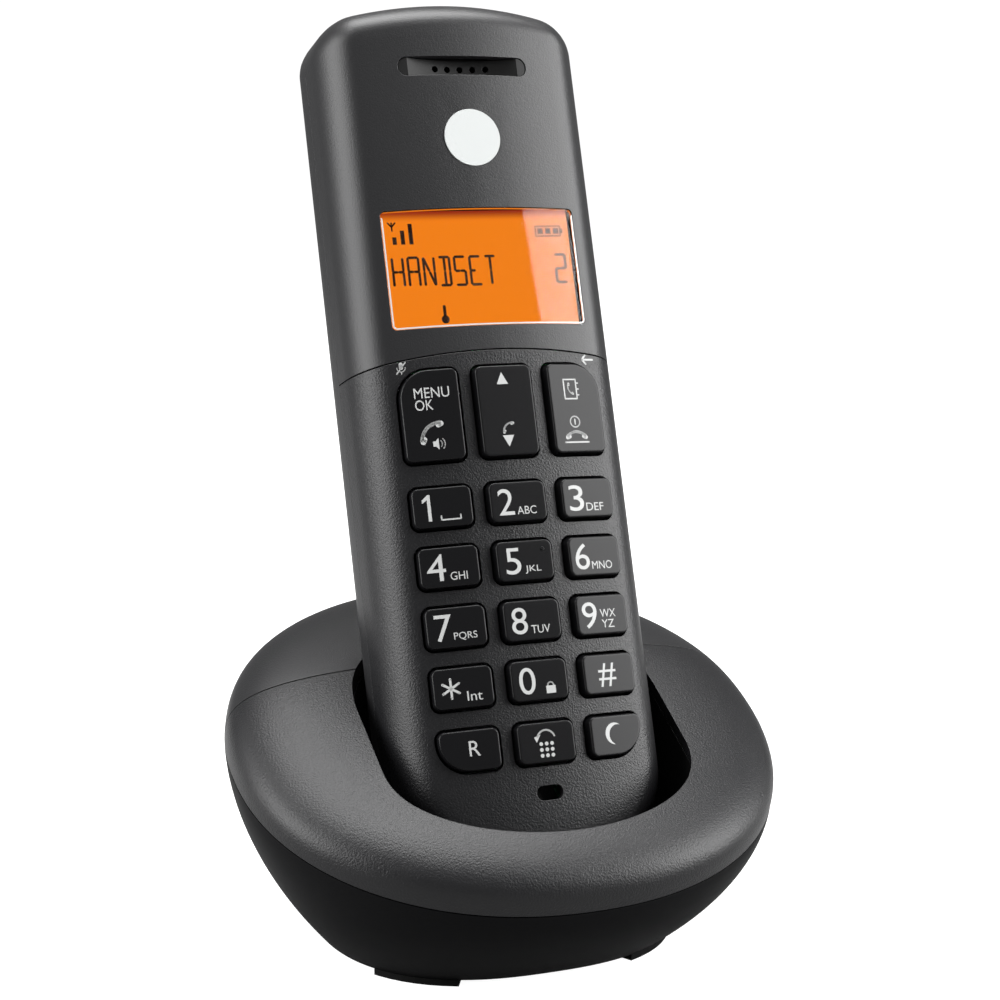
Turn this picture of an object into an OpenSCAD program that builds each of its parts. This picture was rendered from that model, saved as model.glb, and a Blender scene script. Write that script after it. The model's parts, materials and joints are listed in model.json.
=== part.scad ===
// Cordless phone: a handset leaning in an oval charging base.
// Z is up, Z=0 is the floor under the feet, X=0 is the symmetry plane and -Y is the front.
// Handset pieces are drawn in the handset's own frame: X across, Y from its front face to
// its back, Z from its bottom end to its top end. Base covers are drawn in the frame of
// the tilted seam plane: X across, Y from front to rear along the plane, Z out of it.

/* [Handset] */
// Width of the handset
hs_w = 51.5; // [49:0.5:52.5]
// Length of the handset
hs_h = 162.5; // [161:0.5:168]
// Thickness of the handset
hs_t = 27; // [26:0.5:29]
// How far the handset leans back from upright, in degrees
lean = 20; // [16:1:23]
// Radius of the front face across its width
crown_r = 85; // [75:1:120]
// Depth of the parting plane behind the front face
part_y = 15.5; // [14.5:0.25:16]

/* [Keys] */
// Width of a number key
key_w = 10.5; // [9.5:0.25:11]
// Height of a number key
key_h = 6.9; // [6:0.25:7.5]
// Distance between key columns
pitch_x = 13.85; // [13.5:0.05:14.5]
// Distance between key rows
pitch_z = 10.74; // [10.5:0.02:11.2]
// How far the key tops stand out of the face
key_proud = 1.25; // [0.9:0.05:1.6]
// Travel of a pressed key
key_travel = 0.7; // [0.4:0.1:0.8]

/* [Display] */
// Width of the display window
win_w = 37.6; // [34:0.5:38.5]
// Height of the display window
win_h = 21.9; // [20:0.5:23]

/* [Base] */
// Width of the base at its seam
base_w = 102.5; // [100:0.5:108]
// Length of the base along its tilted seam plane
base_l = 92.5; // [91:0.5:98]
// Tilt of the seam plane, rising to the rear, in degrees
seam_tilt = 20; // [18:1:22]
// Height of the middle of the seam above the floor
seam_z = 35; // [34:0.5:38]
// Rise of the front cover above the seam
front_rise = 10.5; // [10:0.5:13]
// Rise of the rear cover above the seam
rear_rise = 13.5; // [13:0.5:16]

/* [Cradle] */
// Width of the cradle's mouth
mouth_w = 58.4; // [57.2:0.2:60]

/* [Hidden] */

$fn = 32;
eps = 0.01;
gap = 0.3;              // running gap between pieces that move past each other
seam_gap = 0.25;        // visible joint line between two covers

// Handset frame: its bottom-front point in the part's frame.
hs_y = -31.4;
hs_z = 20.5;
hs_hw = hs_w / 2;
wall = 1.5;             // handset wall
edge_r = 6;             // width of the rounding between front face and sides
edge_depth = 8;         // depth of that rounding
back_r = 9;             // rounding between back face and sides
top_corner_r = 7.3;
bottom_corner_r = 17;
top_arch = 3;           // how far the top end falls away at its corners
bottom_arch = 2.5;
arch_len = 26;          // length over which an end's arch fades out

// Heights of the controls above the handset's bottom end.
row1_z = 66.7;
low_row_z = 23.4;
func_z = 83.4;
func_h = 16.3;
divide_z = 95;          // middle of the line between upper and lower cover
divide_r = 140;         // radius of that arched line
win_z = 110.55;         // middle of the display window
badge_z = 134.9;
badge_r = 5.4;
ear_z = 148.7;
ear_w = 25.2;
ear_h = 3.5;
mic_z = 14.6;

// Depths behind the front face.
lcd_y = 4.95;
pcb_y = 8.6;
pcb_t = 1.2;
sheet_y = 7.4;          // front of the rubber key sheet
tray_y = 13;            // front wall of the battery tray
cell_r = 5.25;
cell_l = 44.5;
cell_x = 5.6;
cell_y = 19.9;
cell_z = 18.8;
tray_z0 = 14;
tray_z1 = 65;
door_t = 1.6;
door_hw = 15.2;
door_z0 = 13;
door_z1 = 66;
door_mid = (door_z0 + door_z1) / 2;
bed_y = hs_t - door_t - 0.3;    // face the battery door lies on
post_y = 10.1;
hs_screw_spots = [[-16, 72], [16, 72], [-15, 148], [15, 148]];

// Base.
seam_y = -2.65;         // middle of the seam plane
base_wall = 2;
base_points = 64;       // points around the base's outlines
base_power = 2.15;      // how square the seam's outline is: 2 is an ellipse
dome_power = 3.4;
floor_z = 1.2;          // underside of the bottom housing
foot_hw = 33.7;         // half size of the underside
foot_hl = 33;
foot_y = 4.6;
foot_power = 2.5;
bowl_power = 1.58;
cover_split = 12;       // line between front and rear cover, from the seam's middle
pcb_z = 4.4;            // underside of the base circuit board
socket_face_y = 35;     // rear faces of the two sockets
socket_z = 6.2;
line_x = -11;
power_x = 9;

// Keys of the number pad, as [column, row].
function column_x(c) = c * pitch_x;
function row_z(r) = row1_z - r * pitch_z;
function face_angle(x) = asin(x / crown_r);
function crown(x) = crown_r - sqrt(crown_r * crown_r - x * x);

// ---------- frames ----------
module in_handset() translate([0, hs_y, hs_z]) rotate([-lean, 0, 0]) children();
module in_seam() translate([0, seam_y, seam_z]) rotate([seam_tilt, 0, 0]) children();
// Square to the crowned face at column x and height z: Z points out of the face.
module on_face(x, z)
    translate([0, crown_r, z]) rotate([0, 0, face_angle(x)]) translate([0, -crown_r, 0])
        rotate([90, 0, 0]) children();
// A freeform moulding is one skin, so its cuts are made on the skin.
module moulding() resize([0, 0, 0]) children();

// ---------- skins ----------
function mean(p) = [for (k = [0:2]) let (s = [for (q = p) q[k]]) s * [for (q = p) 1] / len(p)];
// Closed skin through rings of points; rings run anticlockwise seen from the far end.
module loft(rings) {
    n = len(rings[0]);
    m = len(rings);
    points = concat([for (r = rings) for (p = r) p], [mean(rings[0]), mean(rings[m - 1])]);
    side = [for (i = [0:m - 2], j = [0:n - 1])
        let (a = i * n + j, b = i * n + (j + 1) % n) each [[a, a + n, b + n], [a, b + n, b]]];
    ends = [for (j = [0:n - 1]) let (k = (j + 1) % n)
        each [[m * n, j, k], [m * n + 1, (m - 1) * n + k, (m - 1) * n + j]]];
    polyhedron(points = points, faces = concat(side, ends), convexity = 8);
}

function arc(cx, cz, r, a0, steps) =
    [for (i = [0:steps]) let (a = a0 + 90 * i / steps) [cx + r * cos(a), cz + r * sin(a)]];
function span(a, b, steps) = [for (i = [1:steps - 1]) a + (b - a) * i / steps];
function fade(z, z0, len) = min(1, max(0, (z - z0) / len));

// Handset outline in X and Z, d inside its outer edge, with both ends arched.
function hs_outline(d, steps = 6) =
    let (w = hs_hw - d, z0 = d, z1 = hs_h - d,
         rt = max(0.6, top_corner_r - d), rb = max(0.6, bottom_corner_r - d),
         raw = concat(arc(w - rb, z0 + rb, rb, -90, steps),
                      [for (z = span(z0 + rb, z1 - rt, 5)) [w, z]],
                      arc(w - rt, z1 - rt, rt, 0, steps),
                      [for (x = span(w - rt, rt - w, 6)) [x, z1]],
                      arc(rt - w, z1 - rt, rt, 90, steps),
                      [for (z = span(z1 - rt, z0 + rb, 5)) [-w, z]],
                      arc(rb - w, z0 + rb, rb, 180, steps),
                      [for (x = span(rb - w, w - rb, 4)) [x, z0]]))
    [for (p = raw) let (s = (p[0] / hs_hw) * (p[0] / hs_hw))
        [p[0], p[1] - top_arch * s * fade(p[1], hs_h - arch_len, arch_len)
                    + bottom_arch * s * fade(arch_len - p[1], 0, arch_len)]];

// Depth of the front face, d inside the outline.
function front_y(x, d) = let (k = max(0, 1 - d / edge_r))
    crown(x) + edge_depth * (1 - sqrt(1 - k * k));
function back_y(d) =
    hs_t - (d < back_r ? back_r - sqrt(back_r * back_r - (back_r - d) * (back_r - d)) : 0);
function round_insets(r, steps) = [for (i = [0:steps]) r * (1 - cos(90 * i / steps))];

// Front half of the handset as a solid, t inside the outer skin, cut flat at y_end.
module front_half(t, y_end, steps = 5) {
    insets = concat(round_insets(edge_r, steps), [10, 14.5, 19, hs_hw - t - 1]);
    loft(concat(
        [[for (p = hs_outline(t)) [p[0], y_end, p[1]]]],
        [for (d = insets) [for (p = hs_outline(t + d)) [p[0], t + front_y(p[0], d), p[1]]]]));
}

// Back half, t inside the outer skin, from y_start to the back.
module back_half(t, y_start, steps = 5) {
    insets = concat(round_insets(back_r, steps), [hs_hw - t - 1]);
    loft(concat(
        [[for (p = hs_outline(t)) [-p[0], y_start, p[1]]]],
        [for (d = insets) [for (p = hs_outline(t + d)) [-p[0], back_y(d) - t, p[1]]]]));
}

// Unit outline of the base, and the same outline at a size.
function squircle(power, n) = [for (i = [0:n - 1]) let (a = 360 * i / n, c = cos(a), s = sin(a))
    [sign(c) * pow(abs(c), 2 / power), sign(s) * pow(abs(s), 2 / power)]];
function rise(y) = let (k = fade(y, -25, 40)) front_rise + (rear_rise - front_rise) * k * k * (3 - 2 * k);

// Upper half of the base, t inside its outer skin, reaching drop below the seam plane.
module dome(t, drop) {
    a = base_w / 2 - t;
    b = base_l / 2 - t;
    unit = squircle(base_power, base_points);
    loft(concat(
        [[for (u = unit) [a * u[0], b * u[1], -drop]]],
        [for (r = t == 0 ? [1, 0.995, 0.975, 0.94, 0.88, 0.8, 0.7, 0.55, 0.35, 0.12]
                         : [1, 0.98, 0.92, 0.8, 0.6, 0.3])
            [for (u = unit) [a * r * u[0], b * r * u[1],
                (rise(b * r * u[1]) - t) * pow(max(0, 1 - pow(r, dome_power)), 1 / dome_power)]]]));
}

// A point of the seam outline in the part's frame, q above the seam plane.
function seam_point(u, t, q) =
    let (y = (base_l / 2 - t) * u[1])
    [(base_w / 2 - t) * u[0], seam_y + y * cos(seam_tilt) - q * sin(seam_tilt),
     seam_z + y * sin(seam_tilt) + q * cos(seam_tilt)];
// Lower half of the base, t inside its outer skin, up to q above the seam plane.
module bowl(t, q) {
    unit = squircle(base_power, base_points);
    low = squircle(foot_power, base_points);
    z0 = floor_z + t;
    loft(concat(
        [for (k = t == 0 ? [0, 0.08, 0.18, 0.3, 0.45, 0.62, 0.8, 1] : [0, 0.15, 0.4, 0.7, 1])
            let (h = 1 - pow(1 - k, bowl_power))
            [for (i = [0:len(unit) - 1])
                let (f = [(foot_hw - t) * low[i][0], foot_y + (foot_hl - t) * low[i][1], z0],
                     s = seam_point(unit[i], t, 0))
                [f[0] + (s[0] - f[0]) * h, f[1] + (s[1] - f[1]) * h, f[2] + (s[2] - f[2]) * k]]],
        q == 0 ? [] : [[for (u = unit) seam_point(u, t, q)]]));
}

// Room for the handset in the base, grown by t, in the handset's frame. Each ring is half
// an ellipse in front, from depth y0 to ym, with rounded corners behind the handset.
function mouth_ring(hw, y0, ym, y1, rb, z) =
    concat([for (i = [0:12]) let (a = 180 + 15 * i) [hw * cos(a), ym + (ym - y0) * sin(a), z]],
           [for (p = arc(hw - rb, y1 - rb, rb, 0, 6)) [p[0], p[1], z]],
           [for (p = arc(rb - hw, y1 - rb, rb, 90, 6)) [p[0], p[1], z]]);
mouth_y0 = -10.7;       // front of the mouth, ahead of the handset's face
mouth_ym = 3.8;         // depth at which the mouth is widest
mouth_z = 7.4;          // height of its front rim
well_hw = hs_hw + 0.8;  // half width at the well's floor
well_y0 = -1.2;
well_ym = 8;
well_y1 = hs_t + 0.9;
module room(t) {
    loft([mouth_ring(well_hw + t, well_y0 - t, well_ym, well_y1 + t, 10 + t, -gap - t),
          mouth_ring(mouth_w / 2 + t, mouth_y0 - t, mouth_ym, well_y1 + t, 13.5 + t, mouth_z),
          mouth_ring(mouth_w / 2 + t, mouth_y0 - t, mouth_ym, well_y1 + t, 13.5 + t, 90)]);
}

// Plate in the XZ plane with rounded corners, from depth y0 to y1.
module plate(w, h, r, y0, y1)
    translate([0, y1, 0]) rotate([90, 0, 0]) linear_extrude(y1 - y0) rounded(w, h, r);
module rounded(w, h, r) {
    for (x = [-1, 1], y = [-1, 1])
        translate([x * (w / 2 - r), y * (h / 2 - r)]) circle(r);
    square([w - 2 * r, h], center = true);
    square([w, h - 2 * r], center = true);
}

// ---------- base ----------
screw_spots = [[-20, -9.5], [20, -9.5], [0, 32.5]];
module base_bottom_housing() color("#1c1c1e") moulding() {
    difference() {
        bowl(0, 0);
        bowl(base_wall, 1);
        in_seam() translate([0, 0, -seam_gap / 2]) translate([-80, -80, 0]) cube([160, 160, 20]);
        for (s = screw_spots) translate([s[0], s[1], 0]) {
            cylinder(r = 1.45, h = 20);
            cylinder(r = 3, h = floor_z + 1);
        }
        socket_cut(line_x, 13.6, 13.6);
        socket_cut(power_x, 10.6, 12.6);
    }
    for (s = screw_spots) translate([s[0], s[1], floor_z + base_wall - eps]) difference() {
        cylinder(r = 3, h = pcb_z - floor_z - base_wall);
        translate([0, 0, -1]) cylinder(r = 1.45, h = 20);
    }
}
// Window in the rear wall for a socket of width w and height h.
module socket_cut(x, w, h)
    translate([x - w / 2, socket_face_y - 10, socket_z - gap]) cube([w, 30, h]);

module cover_half(rear) difference() {
    dome(0, 0);
    dome(base_wall, 1);
    translate([-80, -80, -10]) cube([160, 160, 10 + seam_gap / 2]);
    if (rear) translate([-80, cover_split + seam_gap / 2 - 160, -5]) cube([160, 160, 60]);
    if (!rear) translate([-80, cover_split - seam_gap / 2, -5]) cube([160, 160, 60]);
}
// Undoes the seam frame and enters the handset's frame, for cuts in the covers.
module handset_in_seam()
    rotate([-seam_tilt, 0, 0]) translate([0, -seam_y, -seam_z]) in_handset() children();
module base_front_cover() color("#202022") in_seam() moulding() difference() {
    cover_half(false);
    handset_in_seam() room(0);
}
module base_rear_cover() color("#242426") in_seam() moulding() {
    difference() {
        cover_half(true);
        handset_in_seam() room(0);
        page_place() translate([0, 0, -8]) cylinder(r = page_r + gap, h = 20);
    }
    // Two ribs that carry the page switch's board.
    intersection() {
        page_place() for (x = [-7.8, 7.8]) translate([x - 1.2, -4, -10.2]) cube([2.4, 8, 15]);
        dome(0.7, 0);
    }
}

contact_x = 8;
contact_y = 11.5;
module cradle_well() color("#0c0c0d") moulding() intersection() {
    in_handset() difference() {
        room(wall);
        room(0);
        for (x = [-contact_x, contact_x])
            translate([x - 2.3, contact_y - 2.6, -5]) cube([4.6, 5.2, 10]);
    }
    union() {
        in_seam() dome(base_wall + gap, 0.5);
        bowl(base_wall + gap, 0);
    }
}

// Four arcs of rubber under the corners of the bottom housing.
module base_feet() color("#101010") for (a = [48, 132, 228, 312])
    translate([0, foot_y, 0]) intersection() {
        linear_extrude(floor_z) difference() {
            polygon([for (u = squircle(foot_power, 72)) [foot_hw * u[0], foot_hl * u[1]]]);
            polygon([for (u = squircle(foot_power, 72)) [(foot_hw - 5.5) * u[0], (foot_hl - 5.5) * u[1]]]);
        }
        rotate([0, 0, a]) translate([0, 0, -1])
            linear_extrude(5) polygon([[0, 0], [60, -14], [60, 14]]);
    }

module base_pcb() color("#1f5a33") difference() {
    translate([0, foot_y, pcb_z]) linear_extrude(1.6)
        polygon([for (u = squircle(3, 40)) [26 * u[0], 25 * u[1]]]);
    for (s = screw_spots) translate([s[0], s[1], 0]) cylinder(r = 1.5, h = 20);
}
module base_shield_can() color("#b9bcc0")
    translate([-10, 2.5, pcb_z + 1.6]) difference() {
        cube([20, 16, 3]);
        translate([0.4, 0.4, -eps]) cube([19.2, 15.2, 2.6]);
    }

// Six-way telephone line socket, mouth to the rear.
module line_socket() color("#111113") translate([line_x, socket_face_y, socket_z]) difference() {
    translate([-6.5, -13, 0]) cube([13, 13, 12.8]);
    translate([-4.9, -11, 3.2]) cube([9.8, 12, 6.6]);
    translate([-1.6, -11, 1.4]) cube([3.2, 12, 2]);
}
// Barrel socket for the mains adaptor, mouth to the rear, with its centre pin.
module power_socket() color("#111113") translate([power_x, socket_face_y, socket_z + 5.6]) rotate([-90, 0, 0]) {
    difference() {
        translate([-5, -6, -13]) cube([10, 11.6, 13]);
        translate([0, 0, -10]) cylinder(r = 2.9, h = 11);
    }
    translate([0, 0, -11]) cylinder(r = 1.05, h = 9.5);
}

// Page button, high on the rear cover. Z points out of the cover.
page_r = 5;
page_travel = 0.8;
page_tilt = 13.3;       // fall of the cover to the rear at the button
module page_place() translate([0, 36, rear_rise - 2.1]) rotate([-page_tilt, 0, 0]) children();
module page_button() color("#303033") in_seam() page_place() {
    translate([0, 0, -4.4]) cylinder(r = page_r, h = 4.9);
    translate([0, 0, -5.4]) cylinder(r = page_r + 1, h = 1);
    translate([0, 0, -6]) cylinder(r = 1.6, h = 2);
}
module page_switch() color("#c8c8c4") in_seam() page_place() {
    translate([-3, -3, -10.3]) cube([6, 6, 3.4]);
    translate([-9, -6, -11.5]) cube([18, 12, 1.2]);
}

module screw(head_r, head_h, r, l) {
    cylinder(r = head_r, h = head_h);
    translate([0, 0, head_h - eps]) cylinder(r = r, h = l);
}
module base_screws() color("#8d9095") for (s = screw_spots)
    translate([s[0], s[1], floor_z + 0.1]) difference() {
        screw(2.7, 0.9, 1.25, 5.2);
        translate([-2, -0.3, -1]) cube([4, 0.6, 1.4]);
        translate([-0.3, -2, -1]) cube([0.6, 4, 1.4]);
    }

// Sprung blade whose tip stands in the well's floor, under the handset's pad.
module charge_contact(x) color("#c9a24c") in_handset() translate([x, contact_y, 0]) {
    translate([0, 1.6, -1.1]) rotate([90, 0, 0]) cylinder(r = 1.6, h = 3.2);
    translate([-0.5, -1.6, -7]) cube([1, 3.2, 6]);
    translate([-1.6, -1.6, -7.6]) cube([3.2, 3.2, 0.7]);
}
module charge_contact_left() charge_contact(-contact_x);
module charge_contact_right() charge_contact(contact_x);

// ---------- handset housings ----------
// Everything above the arched dividing line, moved up by dz.
module above_divide(dz) translate([0, -10, dz]) rotate([-90, 0, 0]) linear_extrude(60)
    polygon(concat([[-40, -200], [-40, -divide_z]],
        [for (x = [-28:4:28]) [x, x * x / (2 * divide_r) - divide_z]],
        [[40, -divide_z], [40, -200]]));
module front_shell() difference() {
    front_half(0, part_y);
    front_half(wall, part_y + 1, 3);
}
module window_cut(grow) translate([0, 0, win_z])
    plate(win_w + 2 * grow, win_h + 2 * grow, 0.8 + grow, -5, 8);
module ear_cut(grow) translate([0, 0, ear_z])
    plate(ear_w + 2 * grow, ear_h + 2 * grow, ear_h / 2 + grow - 0.1, -5, 8);
// Screw post standing behind the cover, tied to the side wall by a web.
module post(x, z) translate([0, post_y, z]) {
    translate([x, 0, 0]) rotate([-90, 0, 0]) difference() {
        cylinder(r = 2.6, h = part_y - 0.1 - post_y);
        translate([0, 0, 1]) cylinder(r = 1.2, h = 10);
    }
    translate([x < 0 ? -hs_hw + wall / 2 : x + 2, 0, -0.8])
        cube([hs_hw - wall / 2 - abs(x) - 2, part_y - 0.1 - post_y, 1.6]);
}
module handset_upper_cover() color("#1b1b1d") in_handset() moulding() {
    for (s = [hs_screw_spots[2], hs_screw_spots[3]]) post(s[0], s[1]);
    upper_skin();
}
module upper_skin() difference() {
    intersection() {
        front_shell();
        above_divide(seam_gap / 2);
    }
    window_cut(0.1);
    ear_cut(0.05);
    on_face(0, badge_z) translate([0, 0, -0.4]) cylinder(r = badge_r + 0.05, h = 3);
}
module handset_lower_cover() color("#232325") in_handset() moulding() {
    for (s = [hs_screw_spots[0], hs_screw_spots[1]]) post(s[0], s[1]);
    lower_skin();
}
module lower_skin() difference() {
    front_shell();
    above_divide(-seam_gap / 2);
    for (k = pad_keys) key_opening(k[1], k[2]);
    for (k = low_keys) low_opening(k[1]);
    for (k = func_keys) func_opening(k[1]);
    translate([0, 0, mic_z]) plate(5, 2.6, 1.25, -5, 8);
    for (x = [-contact_x, contact_x])
        translate([x - 2.25, contact_y - 2.55, -1]) cube([4.5, 5.1, 4]);
}
module handset_back_housing() color("#1e1e20") in_handset() moulding() difference() {
    union() {
        difference() {
            back_half(0, part_y + 0.1);
            back_half(wall, part_y - 1, 3);
        }
        intersection() {
            union() {
                translate([-door_hw - 2, bed_y - 1.5, 0.3]) cube([2 * door_hw + 4, 3, door_z1 + 2]);
                for (s = hs_screw_spots) translate([s[0], part_y + 0.1, s[1]]) rotate([-90, 0, 0])
                    cylinder(r = 3.2, h = hs_t);
            }
            back_half(0.7, part_y, 4);
        }
        translate([-12.8, tray_y, tray_z0]) cube([25.6, bed_y - tray_y + 0.5, tray_z1 - tray_z0]);
    }
    // Seat of the battery door, running out over the stepped chin.
    translate([0, hs_t + 2, door_mid]) rotate([90, 0, 0]) linear_extrude(hs_t + 2 - bed_y) {
        rounded(2 * door_hw + 0.4, door_z1 - door_z0 + 0.4, 2.2);
        translate([-door_hw - 0.2, -door_mid - 5]) square([2 * door_hw + 0.4, door_z0 + 10]);
    }
    translate([-11.5, tray_y + 1.2, tray_z0 + 1.2]) cube([23, 30, tray_z1 - tray_z0 - 2.4]);
    for (x = [-6:3:6]) translate([x, hs_t, 104]) plate(1.2, 9, 0.55, -5, 5);
    for (s = hs_screw_spots) translate([s[0], part_y - 1, s[1]]) rotate([-90, 0, 0]) {
        cylinder(r = 1.3, h = 20);
        translate([0, 0, hs_t - part_y - 1.2]) cylinder(r = 2.4, h = 5);
    }
}
module battery_door() color("#1e1e20") in_handset() {
    translate([0, 0, door_mid])
        plate(2 * door_hw - 0.2, door_z1 - door_z0 - 0.2, 2, hs_t - door_t, hs_t);
    for (z = [0:4]) translate([-5, hs_t - eps, door_z0 + 6 + 1.6 * z]) cube([10, 0.3, 0.7]);
}
module badge_disc() color("white") in_handset() on_face(0, badge_z)
    translate([0, 0, -0.35]) cylinder(r = badge_r, h = 0.4);

// ---------- display ----------
// Slab that follows the crowned face, from depth d0 to d1 behind it.
module crowned_slab(w, h, d0, d1) intersection() {
    translate([0, crown_r, -h / 2]) difference() {
        cylinder(r = crown_r - d0, h = h, $fn = 200);
        translate([0, 0, -1]) cylinder(r = crown_r - d1, h = h + 2, $fn = 200);
    }
    translate([-w / 2, -5, -h / 2]) cube([w, 12, h]);
}
module display_lens() color([0.95, 0.5, 0.1, 0.5]) in_handset() translate([0, 0, win_z]) intersection() {
    crowned_slab(win_w + 2, win_h + 2, 0.3, 1.5);
    plate(win_w, win_h, 0.8, -1, 8);
}
module lcd_panel() color("#f58220") in_handset() translate([0, 0, win_z])
    translate([-18.6, lcd_y, -11.7]) cube([37.2, 1.6, 23.4]);
module lcd_light_guide() color("#ffb46a") in_handset() translate([0, 0, win_z])
    translate([-18.4, lcd_y + 1.7, -11.4]) cube([36.8, 1.7, 22.8]);
module lcd_frame() color("#101012") in_handset() translate([0, 0, win_z]) difference() {
    translate([-19.7, lcd_y, -12.8]) cube([39.4, 3.5, 25.6]);
    translate([-18.8, lcd_y - 1, -11.9]) cube([37.6, 6, 23.8]);
}

// ---------- handset electronics ----------
module handset_pcb() color("#1f5a33") in_handset()
    translate([0, 0, 83]) plate(38, 148, 5, pcb_y, pcb_y + pcb_t);
module handset_shield_can() color("#b9bcc0") in_handset() difference() {
    translate([-10, pcb_y + pcb_t, 68]) cube([20, 2.6, 24]);
    translate([-9.6, pcb_y + pcb_t - eps, 68.4]) cube([19.2, 2.2, 23.2]);
}
// Raised pad of the rubber sheet under a key stem in column x.
module pad(x, h) plate(6, h, 1, pad_y(x), sheet_y + eps);
module keypad_membrane() color("#4a4a4d") in_handset() {
    translate([0, 0, 55.5]) plate(40, 74, 3, sheet_y, pcb_y - 0.1);
    for (k = pad_keys) translate([k[1], 0, k[2]]) pad(k[1], 4);
    for (k = low_keys) translate([k[1], 0, low_row_z]) pad(k[1], 4);
    for (k = func_keys, z = [-stem_z, stem_z]) translate([k[1], 0, func_z + z]) pad(k[1], 3.5);
}
module earpiece_grille() color("#151517") in_handset() translate([0, 0, ear_z]) difference() {
    union() {
        intersection() {
            plate(ear_w - 0.1, ear_h - 0.1, ear_h / 2 - 0.15, -2, 4.4);
            crowned_slab(40, 20, 0.15, 6);
        }
        plate(ear_w + 3, ear_h + 3, 2, 3.6, 4.4);
    }
    // Boat-shaped hollow, deepest in the middle.
    translate([0, -31.4, -10]) cylinder(r = 34, h = 20, $fn = 120);
    for (x = [-5:2.5:5]) translate([x, 6, 0]) rotate([90, 0, 0]) cylinder(r = 0.6, h = 9);
}
module earpiece_speaker() color("#3a3a3c") in_handset() translate([0, pcb_y - 0.1, ear_z - 3])
    rotate([90, 0, 0]) {
        cylinder(r = 7.5, h = 2.6);
        cylinder(r = 4.5, h = 3.6);
    }
module ringer_speaker() color("#3a3a3c") in_handset() translate([0, 24.9, 104]) rotate([90, 0, 0]) {
    cylinder(r = 9, h = 2.2);
    cylinder(r = 5, h = 4);
}
module microphone() color("#8a8c90") in_handset() translate([0, pcb_y - 0.1, mic_z])
    rotate([90, 0, 0]) cylinder(r = 2.1, h = 5.3);
module cell(x) translate([x, cell_y, cell_z]) {
    cylinder(r = cell_r, h = cell_l - 1);
    cylinder(r = 1.9, h = cell_l);
}
module battery_cell_a() color("#3f7f4a") in_handset() cell(-cell_x);
module battery_cell_b() color("#3f7f4a") in_handset()
    translate([0, 2 * cell_y, tray_z0 + 1.7 + cell_z + cell_l]) rotate([180, 0, 0]) cell(cell_x);
module coil(r, wire, turns) for (i = [0:turns - 1])
    translate([0, 0, wire + i * 1.5 * wire]) rotate_extrude() translate([r, 0]) circle(r = wire, $fn = 16);
module battery_springs() color("#a9adb2") in_handset() {
    translate([-cell_x, cell_y, tray_z0 + 1.75]) coil(2.6, 0.35, 5);
    translate([cell_x, cell_y, tray_z1 - 1.75]) rotate([180, 0, 0]) coil(2.6, 0.35, 5);
}
module battery_plates() color("#a9adb2") in_handset() for (e = [tray_z0 + 1.25, tray_z1 - 1.65])
    translate([-11, cell_y - 4, e]) cube([22, 8, 0.4]);
module handset_charge_pads() color("#d0a850") in_handset() for (x = [-contact_x, contact_x])
    translate([x - 2.2, contact_y - 2.5, 0.95]) cube([4.4, 5, 1.2]);
module handset_screws() color("#8d9095") in_handset() for (s = hs_screw_spots)
    translate([s[0], hs_t - 1.1, s[1]]) rotate([90, 0, 0]) difference() {
        screw(2.1, 1, 1.1, 13);
        translate([-1.5, -0.3, -1]) cube([3, 0.6, 1.4]);
        translate([-0.3, -1.5, -1]) cube([0.6, 3, 1.4]);
    }

// ---------- keys ----------
// Name, X and Z of the twelve number keys, the bottom row and the tall keys.
pad_names = ["1", "2", "3", "4", "5", "6", "7", "8", "9", "star", "0", "hash"];
pad_keys = [for (i = [0:11]) [pad_names[i], column_x(i % 3 - 1), row_z(floor(i / 3))]];
low_keys = [["recall", -pitch_x], ["redial", 0], ["night", pitch_x]];
func_keys = [["menu_talk", -pitch_x], ["up_down", 0], ["book_end", pitch_x]];

// Tapered cap standing on a flange behind the wall. big_corner rounds one outer corner.
module cap_outline(w, h, grow, side, up) {
    r = 1.1 + grow;
    big = 5.2 + grow;
    hw = w / 2 + grow;
    hh = h / 2 + grow;
    polygon([for (c = [[1, -1, -90], [1, 1, 0], [-1, 1, 90], [-1, -1, 180]])
        let (q = c[0] == side && c[1] == up ? big : r)
        for (p = arc(c[0] * (hw - q), c[1] * (hh - q), q, c[2], q > 2 ? 6 : 3)) p]);
}
// The outer columns sit where the wall is rounding off, so their flanges lie deeper.
function flange_y(x) = x == 0 ? 1.95 : 3;
function pad_y(x) = x == 0 ? 5.7 : 6.6;
// Depth of a stem's end, just clear of its pad when the key is pressed home.
function stem_y(x) = pad_y(x) - key_travel - 0.15 - crown(x) - 2.2 * abs(sin(face_angle(x)));
flange_t = 0.6;
stem_z = 5;             // distance of a tall key's two stems from its middle
ear_half = 2.5;           // half length of a tall key's two ears
module key_cap(x, h, up = 0) {
    side = sign(x);
    back = flange_y(x) + flange_t;
    tall = h > key_w;
    hull() {
        translate([0, 0, key_proud - 0.01]) linear_extrude(0.01) cap_outline(key_w, h, -0.06, side, up);
        translate([0, 0, key_proud - 0.3]) linear_extrude(0.01) cap_outline(key_w, h, 0.12, side, up);
        translate([0, 0, -flange_y(x)]) linear_extrude(0.01) cap_outline(key_w, h, 0.4, side, up);
    }
    translate([0, 0, -back]) linear_extrude(flange_t + eps) intersection() {
        cap_outline(key_w, h, 1.2, side, up);
        square([40, tall ? 2 * ear_half : 40], center = true);
    }
    for (z = tall ? [-stem_z, stem_z] : [0])
        translate([-2, z - 1.2, -stem_y(x)]) cube([4, 2.4, stem_y(x) - flange_y(x) + eps]);
}
module key_hole(x, h, up = 0)
    translate([0, 0, -6]) linear_extrude(12) cap_outline(key_w, h, 0.4 + gap, sign(x), up);
module key_opening(x, z) on_face(x, z) key_hole(x, key_h);
module low_opening(x) on_face(x, low_row_z) key_hole(x, key_h, -1);
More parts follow.
